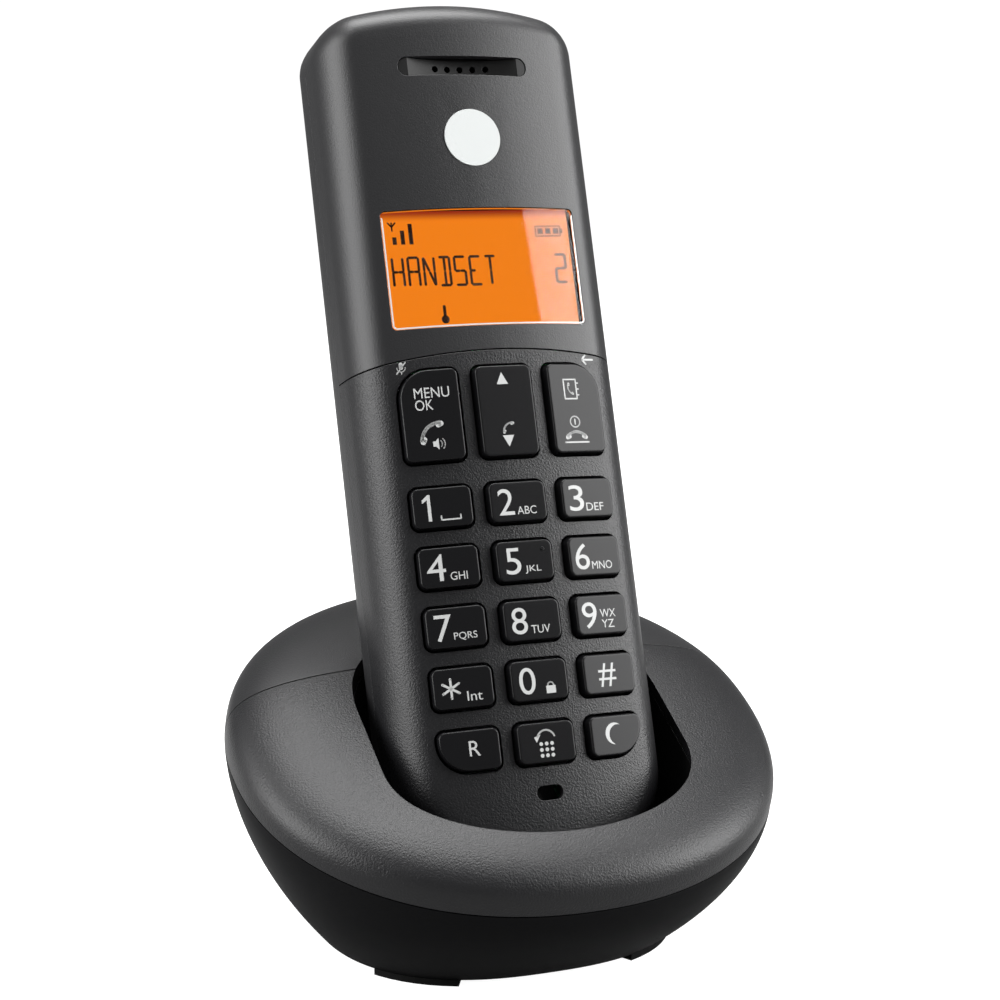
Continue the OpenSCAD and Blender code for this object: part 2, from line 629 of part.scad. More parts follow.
module func_opening(x) on_face(x, func_z) key_hole(x, func_h, 1);
module pad_key(i) color("#28282a") in_handset() on_face(pad_keys[i][1], pad_keys[i][2])
    key_cap(pad_keys[i][1], key_h);
module low_key(i) color("#28282a") in_handset() on_face(low_keys[i][1], low_row_z)
    key_cap(low_keys[i][1], key_h, -1);
module func_key(i) color("#28282a") in_handset() on_face(func_keys[i][1], func_z)
    key_cap(func_keys[i][1], func_h, 1);

base_bottom_housing();
base_front_cover();
base_rear_cover();
cradle_well();
base_feet();
base_pcb();
base_shield_can();
line_socket();
power_socket();
page_switch();
base_screws();
charge_contact_left();
charge_contact_right();
page_button();
handset_upper_cover();
handset_lower_cover();
handset_back_housing();
badge_disc();
display_lens();
lcd_panel();
lcd_light_guide();
lcd_frame();
handset_pcb();
handset_shield_can();
keypad_membrane();
earpiece_grille();
earpiece_speaker();
ringer_speaker();
microphone();
battery_cell_a();
battery_cell_b();
battery_springs();
battery_plates();
handset_charge_pads();
handset_screws();
battery_door();
func_key(0);  // key_menu_talk
func_key(1);  // key_up_down
func_key(2);  // key_book_end
pad_key(0);  // key_1
pad_key(1);  // key_2
pad_key(2);  // key_3
pad_key(3);  // key_4
pad_key(4);  // key_5
pad_key(5);  // key_6
pad_key(6);  // key_7
pad_key(7);  // key_8
pad_key(8);  // key_9
pad_key(9);  // key_star
pad_key(10);  // key_0
pad_key(11);  // key_hash
low_key(0);  // key_recall
low_key(1);  // key_redial
low_key(2);  // key_night
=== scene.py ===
"""Looks of a cordless phone: a handset leaning in its oval charging base."""
import json
import math

import bmesh
import bpy
import numpy as np
from mathutils import Matrix, Quaternion, Vector


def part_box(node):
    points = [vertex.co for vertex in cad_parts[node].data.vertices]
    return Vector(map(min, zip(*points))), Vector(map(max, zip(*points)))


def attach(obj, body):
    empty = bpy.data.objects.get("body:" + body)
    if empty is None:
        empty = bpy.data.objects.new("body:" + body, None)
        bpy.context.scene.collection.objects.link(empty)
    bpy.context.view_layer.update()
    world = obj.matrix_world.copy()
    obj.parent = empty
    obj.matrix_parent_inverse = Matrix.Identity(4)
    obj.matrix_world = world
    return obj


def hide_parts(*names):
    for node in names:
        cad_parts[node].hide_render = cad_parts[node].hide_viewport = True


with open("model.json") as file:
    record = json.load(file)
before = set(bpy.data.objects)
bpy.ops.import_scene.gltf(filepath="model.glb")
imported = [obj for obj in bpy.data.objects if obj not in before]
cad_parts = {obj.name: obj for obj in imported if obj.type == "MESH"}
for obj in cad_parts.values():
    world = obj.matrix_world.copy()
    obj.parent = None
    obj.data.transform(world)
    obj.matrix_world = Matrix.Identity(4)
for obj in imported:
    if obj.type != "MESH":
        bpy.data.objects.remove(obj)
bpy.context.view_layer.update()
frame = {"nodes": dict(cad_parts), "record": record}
joints = {j["name"]: j for j in frame["record"]["behaviour"]["joints"]}
MM = 0.001

# Handset, in millimetres: X across, Y behind the front face, Z up from the bottom end.
HALF_W = 25.75
LENGTH = 162.5
DEPTH = 27.0
CROWN_R = 85.0
PARTING = 15.5
WALL = 1.5
EDGE_R = 6.0                        # width of the rounding between the front face and the sides
EDGE_DEPTH = 8.0                    # depth of that rounding
BACK_R = 9.0
TOP_CORNER = 7.3
BOTTOM_CORNER = 17.0
TOP_ARCH = 3.0
BOTTOM_ARCH = 2.5
ARCH_LEN = 26.0
SEAM_GAP = 0.25
DIVIDE_Z = 95.0
DIVIDE_R = 140.0
BADGE_Z = 134.9
BADGE_R = 5.45
MIC = (2.5, 1.3, 1.25, 14.6)        # half width, half height, rounding and middle
WINDOW = (37.6, 21.9, 110.55)       # width, height and middle of the display window
EAR = (25.2, 3.5, 148.7)            # the same for the earpiece slot
SCREEN_DEPTH = 4.95                 # glowing panel behind the window
SCREEN_TOP = 122.6                  # top of what shows of it from the front
SCREEN_SHIFT = (1.9, 1.25)          # its content's shift right and up, to read centred from the camera
DOOR = (15.2, 13.0, 66.0, 1.6)      # battery door: half width, bottom, top and thickness
VENT = (0.6, 4.5, 0.55, 104)        # ringer slot: half width, half height, rounding and middle
VENT_COUNT = 5
VENT_PITCH = 3
BACK_SCREWS = ((-16, 72), (16, 72), (-15, 148), (15, 148))
SCREW_BORE = 2.4

# Keys.
PITCH_X = 13.85
PITCH_Z = 10.74
ROW1_Z = 66.7
LOW_ROW_Z = 23.4
FUNC_Z = 83.4
FUNC_H = 16.3
KEY_W = 10.5
KEY_H = 6.9
PROUD = 1.25
KEY_HINGE = 2.3                     # depth of the tall keys' hinges
KEY_ROUND = 0.3
KEY_CORNER = 1.1
OUTER_CORNER = 5.2                  # the block's outer corners
OPENING = 0.7

# Base: the covers are drawn about the tilted seam plane.
SEAM_TILT = 20.0
SEAM_Y = -2.65
SEAM_Z = 35.0
HALF_BASE = (51.25, 46.25)
BASE_POWER = 2.15
DOME_POWER = 3.4
RISES = (10.5, 13.5)                # height of the covers in front and behind
RISE_FROM = -25.0                   # where the change between them begins
RISE_LEN = 40.0
COVER_SPLIT = 12.0
BASE_WALL = 2.0
FLOOR_Z = 1.2
FOOT = (33.7, 33.0)                 # half width and half length of the base's flat underside
FOOT_Y = 4.6
FOOT_POWER = 2.5
BOWL_POWER = 1.58
ROOM_BACK = 27.9
MOUTH = (29.2, -10.7, 3.8, 13.5, 7.4)       # half width, front, widest depth, rear corners, height
WELL = (26.55, -1.2, 8.0, 10.0, -0.3)       # the same at the well's floor
BUTTON = (36.0, 11.4, 13.3)                 # page button: along and out of the seam plane, and its tilt
BUTTON_R = 5.3
LINE_WINDOW = ((-17.8, 25, 5.9), (-4.2, 55, 19.5))
POWER_WINDOW = ((3.7, 25, 5.9), (14.3, 55, 18.5))
CONTACTS = (8, (8.9, 14.1), 2.3)            # charge contacts: to each side, front to back, half width


# ---------- frames ----------
def handset_frame():
    """Millimetres in the handset's own frame to millimetres in the row frame."""
    axis = Vector(joints["handset_lift"]["axis"])
    lean = math.atan2(axis.y, axis.z)
    turn = Matrix.Rotation(-lean, 4, "X")
    hinge = Vector(joints["key_up_down_rock"]["pos_m"]) / MM
    return Matrix.Translation(hinge - turn @ Vector((0, KEY_HINGE, FUNC_Z))) @ turn


def base_shift():
    low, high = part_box("base_feet")
    return (low.y + high.y) / 2 / MM - FOOT_Y


HANDSET = handset_frame()
BASE = Matrix.Translation((0, base_shift(), 0))
SEAM = BASE @ Matrix.Translation((0, SEAM_Y, SEAM_Z)) @ Matrix.Rotation(math.radians(SEAM_TILT), 4, "X")


def face_frame(x, z):
    """Square to the crowned face at (x, z): X across, Y up the handset, Z out of the face."""
    tilt = math.asin(x / CROWN_R)
    centre = Matrix.Translation((0, CROWN_R, z)) @ Matrix.Rotation(tilt, 4, "Z")
    return HANDSET @ centre @ Matrix.Translation((0, -CROWN_R, 0)) @ Matrix.Rotation(math.pi / 2, 4, "X")


# ---------- meshes ----------
SHARP = 34                          # degrees between faces that show as a crease


def mesh_object(name, points, faces, place=HANDSET):
    mesh = bpy.data.meshes.new(name)
    mesh.from_pydata([tuple(place @ Vector(p)) for p in points], [], faces)
    bm = bmesh.new()
    bm.from_mesh(mesh)
    bmesh.ops.recalc_face_normals(bm, faces=bm.faces)
    bm.to_mesh(mesh)
    bm.free()
    obj = bpy.data.objects.new(name, mesh)
    bpy.context.scene.collection.objects.link(obj)
    return obj


def loft(name, rings, place=HANDSET):
    """Closed skin through rings of points, with a fan over each end."""
    rings = [np.asarray(r, float) for r in rings]
    n = len(rings[0])
    points = np.vstack(rings + [rings[0].mean(0)[None], rings[-1].mean(0)[None]])
    first, last = len(points) - 2, len(points) - 1
    faces = []
    for i in range(len(rings) - 1):
        for j in range(n):
            k = (j + 1) % n
            faces.append((i * n + j, i * n + k, (i + 1) * n + k, (i + 1) * n + j))
    top = (len(rings) - 1) * n
    for j in range(n):
        k = (j + 1) % n
        faces.append((first, k, j))
        faces.append((last, top + j, top + k))
    return mesh_object(name, points, faces, place)


def prism(name, outline, low, high, place):
    """Outline in X and Y, standing from Z low to high."""
    return loft(name, [[(x, y, z) for x, y in outline] for z in (low, high)], place)


def block(name, low, high, place=HANDSET):
    corners = [(low[0], low[1]), (high[0], low[1]), (high[0], high[1]), (low[0], high[1])]
    return prism(name, corners, low[2], high[2], place)


def combine(target, others, how):
    for other in others:
        step = target.modifiers.new("step", "BOOLEAN")
        step.operation = how
        step.solver = "MANIFOLD"
        step.object = other
    dg = bpy.context.evaluated_depsgraph_get()
    made = bpy.data.meshes.new_from_object(target.evaluated_get(dg))
    target.modifiers.clear()
    target.data = made
    for other in others:
        bpy.data.objects.remove(other)
    return target


def cut(target, *others):
    return combine(target, others, "DIFFERENCE")


def keep(target, *others):
    return combine(target, others, "INTERSECT")


def weld(target, *others):
    return combine(target, others, "UNION")


def to_metres(obj):
    obj.data.transform(Matrix.Scale(MM, 4))
    obj.data.polygons.foreach_set("use_smooth", [True] * len(obj.data.polygons))
    obj.data.set_sharp_from_angle(angle=math.radians(SHARP))
    return obj


def place_piece(obj, body, slot, *nodes):
    to_metres(obj)
    obj.data.materials.clear()
    obj.data.materials.append(MATERIALS[slot])
    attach(obj, body)
    if nodes:
        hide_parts(*nodes)
    return obj


# ---------- outlines ----------
def arc(cx, cy, r, start, steps):
    angles = np.radians(start + 90 * np.arange(steps + 1) / steps)
    return [(cx + r * math.cos(a), cy + r * math.sin(a)) for a in angles]


def rounded_box(half_w, half_h, radii, steps=8):
    """Corner radii run bottom right, top right, top left, bottom left."""
    signs = [(1, -1, -90), (1, 1, 0), (-1, 1, 90), (-1, -1, 180)]
    return [p for (sx, sy, start), r in zip(signs, radii)
            for p in arc(sx * (half_w - r), sy * (half_h - r), r, start, steps)]


def superellipse(power, count):
    out = []
    for i in range(count):
        c, s = math.cos(2 * math.pi * i / count), math.sin(2 * math.pi * i / count)
        if abs(c) < 1e-12:
            c = 0.0
        if abs(s) < 1e-12:
            s = 0.0
        out.append((math.copysign(abs(c) ** (2 / power), c), math.copysign(abs(s) ** (2 / power), s)))
    return out


def handset_outline(inset, steps=14):
    """Outline of the handset in X and Z, with both ends arched."""
    w, low, high = HALF_W - inset, inset, LENGTH - inset
    top = max(0.6, TOP_CORNER - inset)
    bottom = max(0.6, BOTTOM_CORNER - inset)
    side = np.linspace(low + bottom, high - top, 61)[1:-1]
    raw = arc(w - bottom, low + bottom, bottom, -90, steps)
    raw += [(w, z) for z in side]
    raw += arc(w - top, high - top, top, 0, steps)
    raw += [(x, high) for x in np.linspace(w - top, top - w, 25)[1:-1]]
    raw += arc(top - w, high - top, top, 90, steps)
    raw += [(-w, z) for z in side[::-1]]
    raw += arc(bottom - w, low + bottom, bottom, 180, steps)
    raw += [(x, low) for x in np.linspace(bottom - w, w - bottom, 13)[1:-1]]
    out = []
    for x, z in raw:
        share = (x / HALF_W) ** 2
        fall = TOP_ARCH * share * min(1, max(0, (z - LENGTH + ARCH_LEN) / ARCH_LEN))
        lift = BOTTOM_ARCH * share * min(1, max(0, (ARCH_LEN - z) / ARCH_LEN))
        out.append((x, z - fall + lift))
    return out


def crown(x):
    return CROWN_R - math.sqrt(CROWN_R ** 2 - x * x)


def fillet(inset, r, depth):
    k = max(0.0, 1 - inset / r)
    return depth * (1 - math.sqrt(1 - k * k))


def round_insets(r, steps):
    return [r * (1 - math.cos(math.pi / 2 * i / steps)) for i in range(steps + 1)]


def face_depth(x, d, inset):
    """Depth of the front face at x, at distance d inside the outline."""
    return inset + crown(x) + fillet(d, EDGE_R, EDGE_DEPTH)


def front_half(name, inset, y_end):
    depths = round_insets(EDGE_R, 10) + [8, 10, 12, 14, 16, 18, 20, HALF_W - inset - 1]
    rings = [[(x, y_end, z) for x, z in handset_outline(inset)]]
    for d in depths:
        rings.append([(x, face_depth(x, d, inset), z) for x, z in handset_outline(inset + d)])
    return loft(name, rings)


def back_half(name, inset, y_start):
    rings = [[(x, y_start, z) for x, z in handset_outline(inset)]]
    for d in round_insets(BACK_R, 10) + [12, HALF_W - inset - 1]:
        y = DEPTH - fillet(d, BACK_R, BACK_R) - inset
        rings.append([(x, y, z) for x, z in handset_outline(inset + d)])
    return loft(name, rings)


def plate(name, half_w, half_h, r, middle, y0, y1, steps=10):
    """Rounded plate in the handset's XZ plane, from depth y0 to y1."""
    outline = rounded_box(half_w, half_h, [r] * 4, steps)
    return loft(name, [[(x, y, middle + z) for x, z in outline] for y in (y1, y0)])


# ---------- base shapes ----------
def rise(y):
    k = min(1, max(0, (y - RISE_FROM) / RISE_LEN))
    return RISES[0] + (RISES[1] - RISES[0]) * k * k * (3 - 2 * k)


def dome(name, inset, drop, count=288, steps=44):
    a, b = HALF_BASE[0] - inset, HALF_BASE[1] - inset
    unit = superellipse(BASE_POWER, count)
    rings = [[(a * x, b * y, -drop) for x, y in unit]] if drop else []
    for i in range(steps):
        turn = math.pi / 2 * (i / steps) ** 1.7
        r = math.cos(turn) ** (2 / DOME_POWER)
        h = math.sin(turn) ** (2 / DOME_POWER)
        rings.append([(a * r * x, b * r * y, (rise(b * r * y) - inset) * h) for x, y in unit])
    return loft(name, rings, SEAM)


def seam_point(x, y, inset):
    lift = math.radians(SEAM_TILT)
    along = (HALF_BASE[1] - inset) * y
    across = (HALF_BASE[0] - inset) * x
    return Vector((across, SEAM_Y + along * math.cos(lift), SEAM_Z + along * math.sin(lift)))


def bowl(name, inset, extra=0, count=288, steps=26):
    unit = superellipse(BASE_POWER, count)
    low = superellipse(FOOT_POWER, count)
    lift = math.radians(SEAM_TILT)
    rings = []
    for i in range(steps + 1):
        k = i / steps
        h = 1 - (1 - k) ** BOWL_POWER
        ring = []
        for (ux, uy), (lx, ly) in zip(unit, low):
            foot = Vector(((FOOT[0] - inset) * lx, FOOT_Y + (FOOT[1] - inset) * ly, FLOOR_Z + inset))
            top = seam_point(ux, uy, inset)
            ring.append((foot.x + (top.x - foot.x) * h, foot.y + (top.y - foot.y) * h,
                         foot.z + (top.z - foot.z) * k))
        rings.append(ring)
    if extra:
        up = Vector((0, -math.sin(lift), math.cos(lift))) * extra
        rings.append([seam_point(x, y, inset) + up for x, y in unit])
    return loft(name, rings, BASE)


def mouth_ring(spec, grow, z):
    """Half an ellipse in front of the handset and rounded corners behind it."""
    half_w, front, widest, rear_r, _ = spec
    half_w, front, rear_r, back = half_w + grow, front - grow, rear_r + grow, ROOM_BACK + grow
    flat = [(half_w * math.cos(a), widest + (widest - front) * math.sin(a))
            for a in np.linspace(math.pi, 2 * math.pi, 73)]
    flat += arc(half_w - rear_r, back - rear_r, rear_r, 0, 18)
    flat += arc(rear_r - half_w, back - rear_r, rear_r, 90, 18)
    return [(x, y, z) for x, y in flat]


def room(name, grow):
    """Space the base leaves for the handset."""
    return loft(name, [mouth_ring(WELL, grow, WELL[4] - grow), mouth_ring(MOUTH, grow, MOUTH[4]),
                       mouth_ring(MOUTH, grow, 90)])


# ---------- materials ----------
def node_material(name):
    mat = bpy.data.materials.new(name)
    mat.use_nodes = True
    shader = mat.node_tree.nodes["Principled BSDF"]
    return mat, mat.node_tree, shader


def plastic(name, color, rough, grain=0.0, grain_size=0.3, edge=0.12, specular=0.5, metallic=0.0):
    """Moulded plastic: grain is the texture's depth and edge the rounding of its corners, both in mm."""
    mat, tree, shader = node_material(name)
    shader.inputs["Base Color"].default_value = (*color, 1)
    shader.inputs["Roughness"].default_value = rough
    shader.inputs["Specular IOR Level"].default_value = specular
    shader.inputs["Metallic"].default_value = metallic
    corner = tree.nodes.new("ShaderNodeBevel")
    corner.samples = 6
    corner.inputs["Radius"].default_value = edge * MM
    normal = corner.outputs["Normal"]
    if grain:
        place = tree.nodes.new("ShaderNodeTexCoord")
        noise = tree.nodes.new("ShaderNodeTexNoise")
        noise.inputs["Scale"].default_value = 1 / (grain_size * MM)
        noise.inputs["Detail"].default_value = 2.5
        noise.inputs["Roughness"].default_value = 0.6
        bump = tree.nodes.new("ShaderNodeBump")
        bump.inputs["Strength"].default_value = 1.0
        bump.inputs["Distance"].default_value = grain * MM
        tree.links.new(place.outputs["Object"], noise.inputs["Vector"])
        tree.links.new(noise.outputs["Fac"], bump.inputs["Height"])
        tree.links.new(normal, bump.inputs["Normal"])
        normal = bump.outputs["Normal"]
    tree.links.new(normal, shader.inputs["Normal"])
    return mat


def clear_plastic(name):
    """Clear, with a grey specular tint that dims its reflections."""
    mat, _, shader = node_material(name)
    shader.inputs["Base Color"].default_value = (1, 1, 1, 1)
    shader.inputs["Roughness"].default_value = 0.03
    shader.inputs["IOR"].default_value = 1.45
    shader.inputs["Specular Tint"].default_value = (0.18, 0.18, 0.18, 1)
    shader.inputs["Transmission Weight"].default_value = 1.0
    return mat


def backlit(name, color, dim, painted_shade_band):
    """Glowing panel, with a painted shade that darkens it towards its top between two shares of its own
    height.
    """
    mat, tree, shader = node_material(name)
    shader.inputs["Base Color"].default_value = (0, 0, 0, 1)
    shader.inputs["Roughness"].default_value = 0.6
    shader.inputs["Specular IOR Level"].default_value = 0
    shader.inputs["Emission Strength"].default_value = 1
    place = tree.nodes.new("ShaderNodeTexCoord")
    split = tree.nodes.new("ShaderNodeSeparateXYZ")
    share = tree.nodes.new("ShaderNodeMapRange")
    share.interpolation_type = "SMOOTHSTEP"
    share.inputs["From Min"].default_value, share.inputs["From Max"].default_value = painted_shade_band
    glow = tree.nodes.new("ShaderNodeMix")
    glow.data_type = "RGBA"
    glow.inputs["A"].default_value = (*color, 1)
    glow.inputs["B"].default_value = (*dim, 1)
    tree.links.new(place.outputs["Generated"], split.inputs["Vector"])
    tree.links.new(split.outputs["Z"], share.inputs["Value"])
    tree.links.new(share.outputs["Result"], glow.inputs["Factor"])
    tree.links.new(glow.outputs["Result"], shader.inputs["Emission Color"])
    return mat


def panel_share(z):
    """Height z on the handset as a share of the LCD panel's height."""
    low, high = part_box("lcd_panel")
    return ((HANDSET @ Vector((0, SCREEN_DEPTH, z))).z * MM - low.z) / (high.z - low.z)


MATERIALS = {
    "smooth_black": plastic("smooth_black", (0.0065, 0.0065, 0.007), 0.4, 0.04, 0.32, 0.15, 0.22),
    "textured_black": plastic("textured_black", (0.0045, 0.0045, 0.005), 0.38, 0.1, 0.35, 0.15, 0.2),
    # Bottom housing: satin black made darker and almost without reflection, partly its own finish and partly
    # painted shade for its downward-facing underside.
    "lower_black": plastic("lower_black", (0.0025, 0.0025, 0.0027), 0.5, edge=0.15, specular=0.03),
    "key_black": plastic("key_black", (0.0025, 0.0025, 0.0028), 0.3, edge=0.18, specular=0.12),
    "inner_black": plastic("inner_black", (0.002, 0.002, 0.002), 0.5, specular=0.12),
    "foot_rubber": plastic("foot_rubber", (0.003, 0.003, 0.003), 0.7, specular=0.05),
    "badge_white": plastic("badge_white", (0.29, 0.3, 0.297), 0.3, edge=0.05, specular=0.3),
    "clear_lens": clear_plastic("clear_lens"),
    # Painted shade: the screen darkens over the 2 mm below the top of what shows of it.
    "orange_screen": backlit("orange_screen", (0.89, 0.215, 0.008), (0.3, 0.025, 0.006),
                             (panel_share(SCREEN_TOP - 2.4), panel_share(SCREEN_TOP - 0.4))),
    "light_guide": plastic("light_guide", (0.8, 0.6, 0.35), 0.3),
    "grey_rubber": plastic("grey_rubber", (0.02, 0.02, 0.022), 0.6, specular=0.2),
    "circuit_board": plastic("circuit_board", (0.02, 0.13, 0.05), 0.4),
    "tin_plate": plastic("tin_plate", (0.6, 0.61, 0.62), 0.3, metallic=1.0),
    "gold_contact": plastic("gold_contact", (0.8, 0.58, 0.25), 0.28, metallic=1.0),
    "cell_wrap": plastic("cell_wrap", (0.03, 0.2, 0.08), 0.3),
    "speaker_grey": plastic("speaker_grey", (0.004, 0.004, 0.004), 0.5, specular=0.08),
}
INK = plastic("white_ink", (0.22, 0.223, 0.22), 0.5, edge=0.01)
# Light grey for the lens's polished edge: a painted highlight.
LENS_HIGHLIGHT = plastic("lens_edge_highlight", (0.3, 0.29, 0.28), 0.2, edge=0.01, specular=0.5)
SEGMENT = plastic("lcd_segment", (0.02, 0.006, 0.002), 0.6, edge=0.01, specular=0.1)

for part in frame["record"]["subparts"]:
    shown = frame["nodes"][part["node"]]
    shown.data.materials.clear()
    shown.data.materials.append(MATERIALS[part["material_slot"]])


# ---------- keys ----------
def key_radii(grow, side, up):
    """Corner radii of a key: (side, up) names the outer corner of the block, if the key has one."""
    corners = [(1, -1), (1, 1), (-1, 1), (-1, -1)]
    return [grow + (OUTER_CORNER if (side, up) == c else KEY_CORNER) for c in corners]


def key_outline(h, grow, side, up):
    return rounded_box(KEY_W / 2 + grow, h / 2 + grow, key_radii(grow, side, up), 12)


def key_cap(name, h, x, z, side, up):
    place = face_frame(x, z)
    # Height over the face, and how far the outline stands out there.
    profile = [(-1.9, 0.38), (PROUD - KEY_ROUND, 0.12)]
    for i in range(1, 8):
        a = math.pi / 2 * i / 7
        profile.append((PROUD - KEY_ROUND + KEY_ROUND * math.sin(a), 0.12 - KEY_ROUND * (1 - math.cos(a))))
    profile.append((PROUD, -0.35))
    profile.append((PROUD, -0.9))
    rings = [[(px, py, height) for px, py in key_outline(h, grow, side, up)] for height, grow in profile]
    return loft(name, rings, place)


def key_cutter(h, x, z, side, up):
    return prism("cutter", key_outline(h, OPENING, side, up), -7, 7, face_frame(x, z))


KEYS = {}
for i, label in enumerate(["1", "2", "3", "4", "5", "6", "7", "8", "9", "star", "0", "hash"]):
    KEYS["key_" + label] = (KEY_H, (i % 3 - 1) * PITCH_X, ROW1_Z - PITCH_Z * (i // 3), 0, 0)
for i, label in enumerate(["recall", "redial", "night"]):
    KEYS["key_" + label] = (KEY_H, (i - 1) * PITCH_X, LOW_ROW_Z, i - 1, -1)
for i, label in enumerate(["menu_talk", "up_down", "book_end"]):
    KEYS["key_" + label] = (FUNC_H, (i - 1) * PITCH_X, FUNC_Z, i - 1, 1)

for node, (h, x, z, side, up) in KEYS.items():
    place_piece(key_cap(node + "_cap", h, x, z, side, up), node, "key_black", node)


# ---------- printed legends: outlines in X and Y, in millimetres ----------
def turned(outlines, degrees, at=(0, 0), scale=1.0):
    c, s = math.cos(math.radians(degrees)) * scale, math.sin(math.radians(degrees)) * scale
    return [[(at[0] + c * x - s * y, at[1] + s * x + c * y) for x, y in o] for o in outlines]


def disc(x, y, r, count=20):
    return [(x + r * math.cos(2 * math.pi * i / count), y + r * math.sin(2 * math.pi * i / count))
            for i in range(count)]


def stroke(points, width):
    """A rectangle along each step of a line and a disc at each of its points."""
    out = [disc(x, y, width / 2, 12) for x, y in points]
    for (x0, y0), (x1, y1) in zip(points, points[1:]):
        length = math.hypot(x1 - x0, y1 - y0)
        nx, ny = (y0 - y1) / length * width / 2, (x1 - x0) / length * width / 2
        out.append([(x0 + nx, y0 + ny), (x0 - nx, y0 - ny), (x1 - nx, y1 - ny), (x1 + nx, y1 + ny)])
    return out


def bow(x, y, r, start, end, width, steps=12):
    angles = np.radians(np.linspace(start, end, steps + 1))
    return stroke([(x + r * math.cos(a), y + r * math.sin(a)) for a in angles], width)


def words(body, x0, x1, y0, y1):
    """Letters stretched to fill a rectangle."""
    curve = bpy.data.curves.new("words", "FONT")
    curve.body = body
    curve.resolution_u = 5
    obj = bpy.data.objects.new("words", curve)
    bpy.context.scene.collection.objects.link(obj)
    mesh = bpy.data.meshes.new_from_object(obj.evaluated_get(bpy.context.evaluated_depsgraph_get()))
    xs = [v.co.x for v in mesh.vertices]
    ys = [v.co.y for v in mesh.vertices]
    wide, high = (x1 - x0) / (max(xs) - min(xs)), (y1 - y0) / (max(ys) - min(ys))
    spots = [(x0 + (x - min(xs)) * wide, y0 + (y - min(ys)) * high) for x, y in zip(xs, ys)]
    out = [[spots[i] for i in face.vertices] for face in mesh.polygons]
    bpy.data.objects.remove(obj)
    bpy.data.meshes.remove(mesh)
    return out


def receiver(x, y, width, degrees=0):
    """A bowed grip with a block at each end."""
    grip = [(k / 8 * 0.42, 0.16 * (1 - (k / 8) ** 2)) for k in range(-8, 9)]
    shape = stroke(grip, 0.11)
    for side in (-1, 1):
        shape += stroke([(0.33 * side, -0.03), (0.43 * side, -0.06)], 0.17)
    return turned(shape, degrees, (x, y), width)


def loudspeaker():
    cone = [[(0, 0.5), (0.5, 0.5), (1.1, 1.1), (1.1, -1.1), (0.5, -0.5), (0, -0.5)]]
    return cone + bow(1.0, 0, 0.75, -45, 45, 0.2) + bow(1.0, 0, 1.3, -45, 45, 0.2)


def phonebook():
    page = [(-1.5, -1.8), (1.1, -1.8), (1.1, 1.8), (-1.5, 1.8), (-1.5, -1.8)]
    tabs = [s for y in (-1.1, 0, 1.1) for s in stroke([(1.1, y), (1.55, y)], 0.25)]
    return stroke(page, 0.26) + tabs + receiver(-0.2, 0, 2.4, 112)


def power_mark():
    return bow(0, 0, 1.0, 0, 360, 0.24, 24) + stroke([(0, -0.45), (0, 0.45)], 0.26)


def padlock():
    return [[(-0.9, -1.1), (0.9, -1.1), (0.9, 0.25), (-0.9, 0.25)]] + bow(0, 0.3, 0.55, 0, 180, 0.26)


def last_numbers():
    dots = [disc(x, y, 0.3) for x in (-0.9, 0, 0.9) for y in (-1.9, -1.0, -0.1)]
    return dots + bow(0, 0.5, 1.5, 20, 160, 0.28) + [[(-1.95, 1.0), (-0.85, 1.35), (-1.6, 0.15)]]


def moon():
    outer = [(1.95 * math.cos(a), 1.95 * math.sin(a)) for a in np.radians(np.linspace(70, 290, 28))]
    inner = [(0.75 + 1.85 * math.cos(a), 1.85 * math.sin(a)) for a in np.radians(np.linspace(262, 98, 24))]
    return [outer + inner]


def star():
    return [s for a in (30, 90, 150) for s in turned(stroke([(-1.7, 0), (1.7, 0)], 0.42), a, (-2.2, 0))]


def muted():
    head = stroke([(0, 0.3), (0, 0.9)], 0.75)
    stand = bow(0, 0.3, 0.75, 180, 360, 0.16) + stroke([(0, -0.5), (0, -0.9)], 0.16)
    return head + stand + stroke([(-0.9, -0.8), (0.9, 1.3)], 0.2)


def back_arrow():
    return stroke([(-1.1, 0), (1.3, 0)], 0.34) + stroke([(-0.3, 0.8), (-1.1, 0), (-0.3, -0.8)], 0.34)


def figure_one():
    flag = [(-2.6, 2.35), (-3.65, 1.45), (-3.65, 0.85), (-2.75, 1.45)]
    return [[(-2.15, -2.4), (-2.15, 2.35)] + flag + [(-2.75, -2.4)]]


DIGITS = {"2": (-3.9, -0.9), "3": (-4.0, -0.9), "4": (-4.1, -0.7), "5": (-3.8, -0.9),
          "6": (-4.2, -1.2), "7": (-3.9, -0.8), "8": (-4.0, -1.0), "9": (-4.2, -1.1), "0": (-3.9, -0.8)}
LETTERS = {"2": ("ABC", -0.4, 3.3), "3": ("DEF", -0.5, 3.2), "4": ("GHI", 0.0, 3.1), "5": ("JKL", -0.2, 2.9),
           "6": ("MNO", -0.8, 3.5), "7": ("PQRS", -0.6, 3.6), "8": ("TUV", -0.4, 3.2)}


